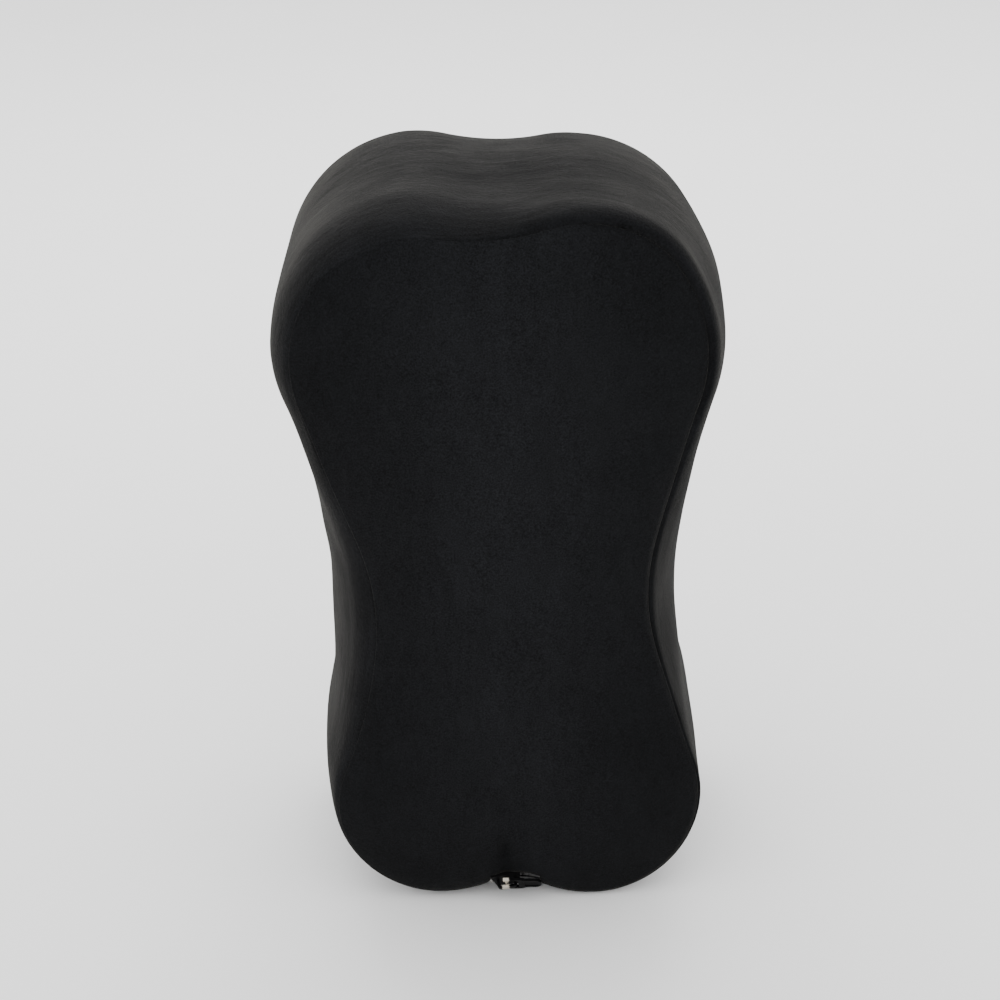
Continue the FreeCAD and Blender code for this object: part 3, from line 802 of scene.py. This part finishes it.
def make_cover():
    side_velour = velour("velour_side", (0.3, 2.6, 2.6), sheen=0.30, patches=0.42)
    face_velour = velour("velour_face", (2.2, 2.0, 0.7), sheen=0.30, patches=0.16, face=True)
    rows = cover_rows(AROUND)
    for name, move in settle().items():
        rows[name] = rows[name] + refine(move, spine=name != "gusset")
    _, normals = outline(AROUND)
    outward = np.stack([-normals[:, 0], np.zeros(len(normals)), -normals[:, 1]], 1)
    forward = np.array([0.0, -1.0, 0.0])
    ways = {"gusset": outward[None], "front": forward, "back": -forward}
    band_gaps = [min(gap, DEPTH - gap) for gap in row_gaps()]
    gaps = {"gusset": band_gaps, "front": PANEL_GAPS, "back": PANEL_GAPS}
    nodes = {"gusset": "gusset", "front": "front_panel", "back": "back_panel"}
    for name, node in nodes.items():
        calm = smooth(0, 12, np.array(gaps[name]))[:, None, None]
        standing = smooth(3.0, 25.0, rows[name][..., 2])[..., None]
        amount = 0.0 if name == "back" else 1.0
        wavy = ripple(rows[name], ways[name], 40.0, amount, 3.0)
        shape = rows[name] + (wavy - rows[name]) * calm * standing
        if name == "gusset":
            piece = grid_mesh("gusset_cloth", shape[::-1], side_velour, uv=band_uv(shape)[::-1])
        else:
            piece = grid_mesh(name + "_cloth", shape if name == "front" else shape[::-1], face_velour)
        weld(piece)
        cloth_thickness(piece)
        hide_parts(node)
        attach(piece, "cushion")


CORE_AROUND = 200
CORE_SPINE_Z = (75, 225)


def core_form(name, inset, edge_radius, material):
    """Closed rounded form inside the cover."""
    points, normals = outline(CORE_AROUND)
    rows = []
    steps = np.linspace(0, math.pi / 2, 9)
    sections = [(inset + edge_radius * (1 - math.sin(a)), inset + edge_radius * (1 - math.cos(a)))
                for a in steps]
    flat = [(inset + edge_radius + share * 20, inset) for share in (0.9, 0.45)]
    half = flat + sections
    for t, gap in half:
        rows.append(core_row(points, normals, t, FRONT_Y + gap))
    for t, gap in reversed(half):
        rows.append(core_row(points, normals, t, BACK_Y - gap))
    caps = []
    for row, y in ((rows[0], FRONT_Y + inset), (rows[-1], BACK_Y - inset)):
        spine = row.copy()
        spine[:, 0] = LEAN / 2
        spine[:, 1] = y
        spine[:, 2] = np.clip(row[:, 2], *CORE_SPINE_Z)
        caps.append(spine)
    piece = grid_mesh(name, np.array([caps[0]] + rows + [caps[1]]), material)
    weld(piece)
    return piece


def core_row(points, normals, inset, y):
    return place_on(points, normals, np.full(len(points), inset), np.full(len(points), y))


def make_core():
    foam = core_form("foam_block", 6.0, 17.0, foam_material("memory_foam"))
    liner = core_form("liner_sleeve", 5.0, 18.0, liner_material("liner_knit"))
    for piece, node, slot in ((foam, "foam_core", "foam"), (liner, "inner_liner", "liner")):
        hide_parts(node)
        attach(piece, "cushion")


# ---- strap -----------------------------------------------------------------------------------------

STRAP_W = 30.0
STRAP_T = 1.2
ANCHOR_U = 0.8
INNER_U = 6.7
MAIN_U = 8.0
OUTER_U = 12.1
RING_U = 9.4
GLIDE_U = 10.0
GLIDE_T = 2.5
GLIDE_BAR = 3.0
GLIDE_END = 12.5
LOWER_Z = (28.0, 50.0, 66.0, 86.0)
GLIDE_Z = 107.0
WEAVE_HALF = 21.0
STRAP_JOIN = 0.02
LOOP_TOP_Z = 150.0
RING_Z = (156.0, 169.0)
UPPER_Z = (222.0, 240.0, 272.0)
STRAP_PITCH = 0.9
BOX_MARGIN = 3
TACK_MARGIN = 2
TACK_ABOVE_RING = (16.4, 21.4)
STITCH_R = 0.36


def ramp(u0, z0, u1, z1, steps=10):
    line = []
    for i in range(steps + 1):
        share = i / steps
        line.append((u0 + (u1 - u0) * (1 - math.cos(math.pi * share)) / 2, z0 + (z1 - z0) * share))
    return line


def bend(u, z, r, first, last, steps=12):
    line = []
    for i in range(steps + 1):
        angle = math.radians(first + (last - first) * i / steps)
        line.append((u + r * math.cos(angle), z + r * math.sin(angle)))
    return line


def even(line, pitch):
    """The same line with evenly spaced points."""
    line = np.array(line, float)
    line = line[np.r_[True, np.hypot(*np.diff(line, axis=0).T) > 1e-6]]
    run = np.r_[0, np.cumsum(np.hypot(*np.diff(line, axis=0).T))]
    stops = np.linspace(0, run[-1], max(int(run[-1] / pitch), 2) + 1)
    return np.stack([np.interp(stops, run, line[:, k]) for k in (0, 1)], 1), stops


def webbing(name, line, material):
    """Webbing along (u, z) points, with rounded selvedges and raised edge cords."""
    path, stops = even(line, STRAP_PITCH)
    along = np.gradient(path, axis=0)
    along /= np.hypot(*along.T)[:, None]
    normal = np.stack([along[:, 1], -along[:, 0]], 1)
    half = STRAP_W / 2
    across = np.r_[-half, -half + 0.25, -half + 0.8, -half + 1.6, np.linspace(-half + 3, half - 3, 13),
                   half - 1.6, half - 0.8, half - 0.25, half]
    rim = (half - np.abs(across))
    lift = STRAP_T / 2 * np.sqrt(np.clip(1 - (1 - np.clip(rim / 0.6, 0, 1)) ** 2, 0, 1))
    lift = lift - 0.10 * smooth(1.2, 2.2, rim)
    ring_x = np.r_[across, across[::-1]]
    ring_h = np.r_[lift, -lift[::-1]]
    rows, uv = [], []
    for (u, z), n, stop in zip(path, normal, stops):
        y = BACK_Y + u + n[0] * ring_h
        rows.append(np.stack([ring_x, y, z + n[1] * ring_h], 1))
        uv.append(np.stack([ring_x, np.full(len(ring_x), stop)], 1))
    rows = [closed_end(rows[0])] + rows + [closed_end(rows[-1])]
    uv = [uv[0]] + uv + [uv[-1]]
    return grid_mesh(name, np.array(rows), material, uv=np.array(uv))


def closed_end(row):
    """The row drawn together into a line across the strap."""
    flat = row.copy()
    flat[:, 1:] = flat[:, 1:].mean(0)
    return flat


def strap_lines():
    low, flat, run, glide_low = LOWER_Z
    r = OUTER_U - RING_U
    over = GLIDE_U + GLIDE_T / 2 + 1.5 * STRAP_T + 0.3
    end = GLIDE_END + GLIDE_BAR / 2
    z = GLIDE_Z
    weave = [(MAIN_U, z - WEAVE_HALF)]
    weave += ramp(MAIN_U, z - end + GLIDE_BAR, over, z - 3)
    weave += ramp(over, z + 3, MAIN_U, z + end - GLIDE_BAR)
    weave += ramp(MAIN_U, z + end, OUTER_U, z + WEAVE_HALF)
    fold_r = GLIDE_T / 2 + STRAP_T / 2 + 0.15
    fold = [(INNER_U, z + WEAVE_HALF), (INNER_U, z + 9)]
    fold += ramp(INNER_U, z + 8, GLIDE_U - fold_r, z + 1, 5)
    fold += bend(GLIDE_U, z, fold_r, 180, 360)
    fold.append((GLIDE_U + fold_r, z + 1.6))
    loop = [(OUTER_U, z + WEAVE_HALF + STRAP_JOIN), (OUTER_U, LOOP_TOP_Z)]
    loop += bend(RING_U, RING_Z[0], r, 0, 180) + [(INNER_U, z + WEAVE_HALF + STRAP_JOIN)]
    lie = INNER_U + STRAP_T + 0.1
    upper = [(ANCHOR_U, UPPER_Z[2])] + ramp(ANCHOR_U, UPPER_Z[1], INNER_U, UPPER_Z[0])
    upper += bend(RING_U, RING_Z[1], r, 180, 360)
    upper += ramp(OUTER_U, RING_Z[1] + 1.5, lie, RING_Z[1] + 13) + [(lie, RING_Z[1] + 25)]
    lower = [(ANCHOR_U, low)] + ramp(ANCHOR_U, flat, MAIN_U, run) + [(MAIN_U, glide_low - STRAP_JOIN)]
    return {"lower": lower, "weave": weave, "fold": fold, "loop": loop, "upper": upper}


def make_strap():
    material = webbing_material("elastic_webbing")
    lines = strap_lines()
    stands_for = {
        "lower": ("strap_lower_end", "strap_lower_run"),
        "weave": ("strap_weave",),
        "fold": ("strap_fold",),
        "loop": ("strap_loop_outer", "strap_turn", "strap_loop_inner"),
        "upper": ("strap_upper",),
    }
    bodies = {"weave": "adjuster", "fold": "adjuster"}
    for name, nodes in stands_for.items():
        piece = webbing(name + "_webbing", lines[name], material)
        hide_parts(*nodes)
        if name == "lower":
            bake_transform(piece)
        elif name == "loop":
            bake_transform(piece)
        else:
            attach(piece, bodies.get(name, "cushion"))


def stitches(name, runs, u, material, pitch=3.0, length=2.3):
    """Rows of single stitches along (x, z) lines on the webbing's outer face."""
    vertices, faces = [], []
    ring, steps = 8, 6
    for (x0, z0), (x1, z1) in runs:
        total = math.hypot(x1 - x0, z1 - z0)
        dx, dz = (x1 - x0) / total, (z1 - z0) / total
        for k in range(int(total / pitch)):
            centre = pitch * (k + 0.5)
            base = len(vertices)
            for i in range(steps + 1):
                t = -1 + 2 * i / steps
                r = STITCH_R * math.sqrt(max(1 - t ** 4, 0.02))
                s = centre + t * length / 2
                for j in range(ring):
                    a = math.tau * j / ring
                    side = r * math.cos(a)
                    height = 0.75 * r * math.sin(a) + 0.1 - 0.15 * t * t
                    x, z = x0 + dx * s - dz * side, z0 + dz * s + dx * side
                    vertices.append((x, BACK_Y + u + height, z))
            for i in range(steps):
                for j in range(ring):
                    a, b = base + i * ring + j, base + i * ring + (j + 1) % ring
                    faces.append((a, b, b + ring, a + ring))
            faces.append(tuple(base + j for j in reversed(range(ring))))
            faces.append(tuple(base + steps * ring + j for j in range(ring)))
    mesh = bpy.data.meshes.new(name)
    mesh.from_pydata([tuple(c * MM for c in v) for v in vertices], [], faces)
    mesh.shade_smooth()
    mesh.materials.append(material)
    piece = add_object(name, mesh)
    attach(piece, "cushion")
    return piece


def box_runs(low, high):
    half = STRAP_W / 2 - BOX_MARGIN
    low, high = low + BOX_MARGIN, high - BOX_MARGIN
    corners = [(-half, low), (half, low), (half, high), (-half, high)]
    sides = [(corners[i], corners[(i + 1) % 4]) for i in range(4)]
    return sides + [(corners[0], corners[2]), (corners[1], corners[3])]


def make_stitches():
    material = thread_material("bonded_thread")
    top = ANCHOR_U + STRAP_T / 2
    low = stitches("lower_stitches", box_runs(LOWER_Z[0], LOWER_Z[1]), top, material)
    high = stitches("upper_stitches", box_runs(UPPER_Z[1], UPPER_Z[2]), top, material)
    half = STRAP_W / 2 - TACK_MARGIN
    heights = [RING_Z[1] + above for above in TACK_ABOVE_RING]
    rows = [((-half, z), (half, z)) for z in heights]
    tack = stitches("ring_stitches", rows, INNER_U + 1.5 * STRAP_T + 0.1, material, 1.6, 1.4)
    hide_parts("lower_box_stitch")
    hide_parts("upper_box_stitch")
    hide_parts("ring_bar_tack")


# ---- CAD parts that keep their shape ----------------------------------------------------------------

def dress(nodes, material, edge=0.0, worn=None):
    """Gives CAD nodes a material and rounded edges, which may show a worn material of their own."""
    for name in nodes:
        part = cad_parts[name]
        part.data.materials.clear()
        part.data.materials.append(material)
        if worn:
            part.data.materials.append(worn)
        if edge:
            modifier = part.modifiers.new("rounded_edges", "BEVEL")
            modifier.width = edge * MM
            modifier.segments = 3
            modifier.limit_method = "ANGLE"
            modifier.angle_limit = math.radians(30)
            modifier.material = 1 if worn else -1


def dress_hardware():
    nickel = metal_material("bright_nickel")
    enamel = enamel_material("black_enamel")
    dress(["slider_body"], enamel, 0.15)
    # The crown and the pull tab share the painted highlight band of bright nickel.
    painted_highlight = enamel_material("enamel_painted_highlight", painted_highlight=PAINTED_HIGHLIGHT_X)
    dress(["slider_crown"], painted_highlight, 0.15)
    dress(["pull_tab"], painted_highlight, 0.2, worn=nickel)
    dress(["zip_top_stop", "zip_bottom_stop"], metal_material("stop_metal", (0.4, 0.39, 0.37)), 0.15)
    dress(["strap_ring", "tri_glide"], plastic_material("black_acetal"), 0.35)
    dress(["zip_coil_front", "zip_coil_side"], coil_material("nylon_coil"))
    dress(["zip_tape_front", "zip_tape_side"], tape_material("zip_tape"))


# ---- studio ----------------------------------------------------------------------------------------

CAMERA_ELEVATION = 26.9
CAMERA_DISTANCE = 889.0
CAMERA_LENS = 84.1
OBJECT_ROLL = 2.18
OBJECT_YAW = 0.33
OBJECT_SHIFT = (0.8, -37.4)


def make_camera():
    """The camera looks down at the front face, which is turned and shifted slightly in its view."""
    elevation = math.radians(CAMERA_ELEVATION)
    turn = Matrix.Rotation(math.radians(OBJECT_YAW), 3, "Z")
    turn = turn @ Matrix.Rotation(-math.radians(OBJECT_ROLL), 3, "Y")
    back = turn.inverted()
    away = Vector((0, -math.cos(elevation), math.sin(elevation)))
    middle = Vector((0, FRONT_Y, HEIGHT / 2))
    shift = Vector((OBJECT_SHIFT[0], 0, OBJECT_SHIFT[1]))
    place = middle + back @ (away * CAMERA_DISTANCE - shift)
    data = bpy.data.cameras.new("camera")
    data.lens = CAMERA_LENS
    data.sensor_width = 36.0
    camera = add_object("camera", data)
    up = Vector((0, math.sin(elevation), math.cos(elevation)))
    axes = Matrix((back @ Vector((1, 0, 0)), back @ up, back @ away)).transposed()
    camera.matrix_world = Matrix.Translation(place * MM) @ axes.to_4x4()
    bpy.context.scene.camera = camera


def area_light(name, place, aim, size, power):
    data = bpy.data.lights.new(name, "AREA")
    data.shape = "RECTANGLE"
    data.size, data.size_y = size
    data.energy = power
    light = add_object(name, data)
    light.location = place
    light.rotation_euler = (Vector(aim) - Vector(place)).to_track_quat("-Z", "Y").to_euler()


def make_studio():
    mesh = bpy.data.meshes.new("floor")
    mesh.from_pydata([(-6, -6, 0), (6, -6, 0), (6, 6, 0), (-6, 6, 0)], [], [(0, 1, 2, 3)])
    floor = add_object("floor", mesh)
    material, tree, bsdf = new_material("floor_paper")
    grain = noise_node(tree, coordinates(tree), 6, 3, 0.5)
    tinted(tree, bsdf, (0.93, 0.93, 0.93), spread(tree, grain, 0.3, 0.7, 0.99, 1.01))
    bsdf.inputs["Roughness"].default_value = 0.9
    mesh.materials.append(material)
    world = bpy.data.worlds.new("studio")
    world.use_nodes = True
    world.node_tree.nodes["Background"].inputs["Color"].default_value = (1, 1, 1, 1)
    world.node_tree.nodes["Background"].inputs["Strength"].default_value = 1.8
    bpy.context.scene.world = world
    area_light("overhead", (0.0, 0.9, 1.0), (0, 0, 0.2), (1.2, 0.7), 12)


make_camera()
make_cover()
make_core()
make_strap()
make_stitches()
dress_hardware()
make_studio()
